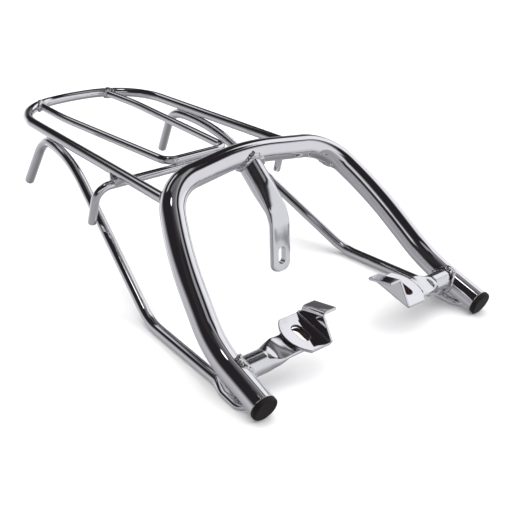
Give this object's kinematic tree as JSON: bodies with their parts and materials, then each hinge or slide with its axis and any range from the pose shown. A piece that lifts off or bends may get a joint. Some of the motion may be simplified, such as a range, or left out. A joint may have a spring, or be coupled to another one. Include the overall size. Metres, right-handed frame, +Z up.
{
  "type": "motorcycle luggage rack",
  "caption": "Chromed tube grab rail with a rod luggage platform behind it, stays below, a slotted tab in the middle and two slotted bracket plates in front.",
  "frame": {"origin": "centre of the bolt slot on the front face of the middle tab", "axes": "+X to the rack's right as fitted, +Y to the rear of the machine along the platform, +Z up"},
  "size_m": [0.2846, 0.503, 0.1411],
  "materials": {
    "tube_chrome": "mirror",
    "rod_chrome": "mirror",
    "sheet_chrome": "mirror",
    "weld_chrome": "plated weld",
    "plug_plastic": "moulded"
  },
  "bodies": {
    "root": {"grab_rail": "tube_chrome", "carrier_loop": "rod_chrome", "inner_loop": "rod_chrome", "cross_rod": "rod_chrome", "left_stay": "rod_chrome", "right_stay": "rod_chrome", "middle_tab": "tube_chrome", "left_stub": "tube_chrome", "right_stub": "tube_chrome", "left_bracket_plate": "sheet_chrome", "right_bracket_plate": "sheet_chrome", "left_end_plug": "plug_plastic", "right_end_plug": "plug_plastic", "left_loop_weld": "weld_chrome", "right_loop_weld": "weld_chrome", "left_inner_weld": "weld_chrome", "right_inner_weld": "weld_chrome", "left_cross_weld": "weld_chrome", "right_cross_weld": "weld_chrome", "front_bar_welds": "weld_chrome", "left_hook_weld": "weld_chrome", "right_hook_weld": "weld_chrome", "left_paddle_weld": "weld_chrome", "right_paddle_weld": "weld_chrome", "left_stub_weld": "weld_chrome", "right_stub_weld": "weld_chrome", "left_plate_weld": "weld_chrome", "right_plate_weld": "weld_chrome", "tab_weld": "weld_chrome"}
  },
  "joints": []
}
